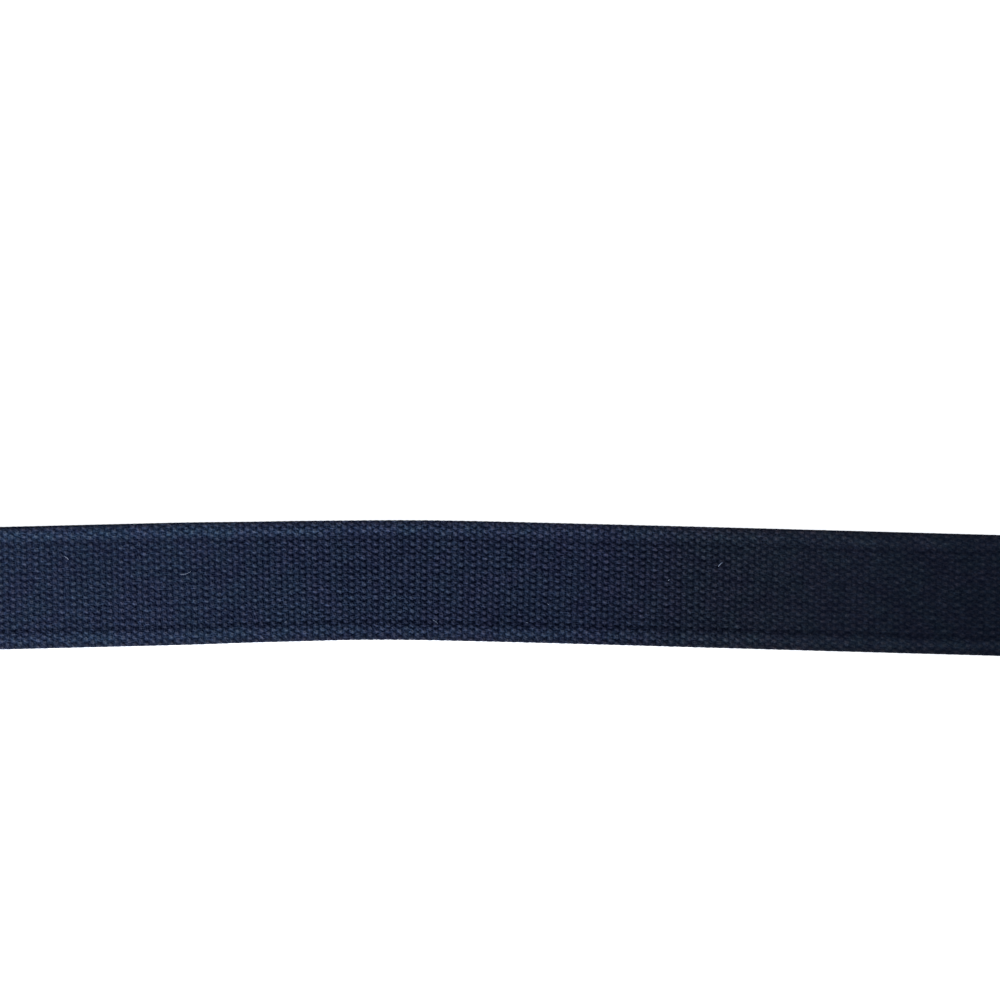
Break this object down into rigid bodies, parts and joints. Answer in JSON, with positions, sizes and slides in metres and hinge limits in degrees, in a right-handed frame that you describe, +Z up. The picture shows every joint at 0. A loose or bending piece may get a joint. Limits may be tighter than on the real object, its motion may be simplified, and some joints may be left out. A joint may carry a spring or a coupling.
{
  "type": "ribbon belt",
  "caption": "Navy woven cotton webbing belt with tubular ribbed edges, lying open and flat, with a hemmed tip and a plain three-bar slide sewn into its other end.",
  "frame": {"origin": "on the underside of the strap, in the middle of its width and 6 mm to the hemmed tip's side of the middle of the whole belt", "axes": "+X along the belt towards its hemmed tip, +Y across the strap, +Z up from the surface that the belt lies on"},
  "size_m": [1.0398, 0.0698, 0.0084],
  "materials": {
    "webbing": "matt warp-faced plain weave in navy cotton",
    "slide": "satin nickel plate on steel"
  },
  "bodies": {
    "root": {"webbing_strap": "webbing", "slide_buckle": "slide"}
  },
  "joints": []
}
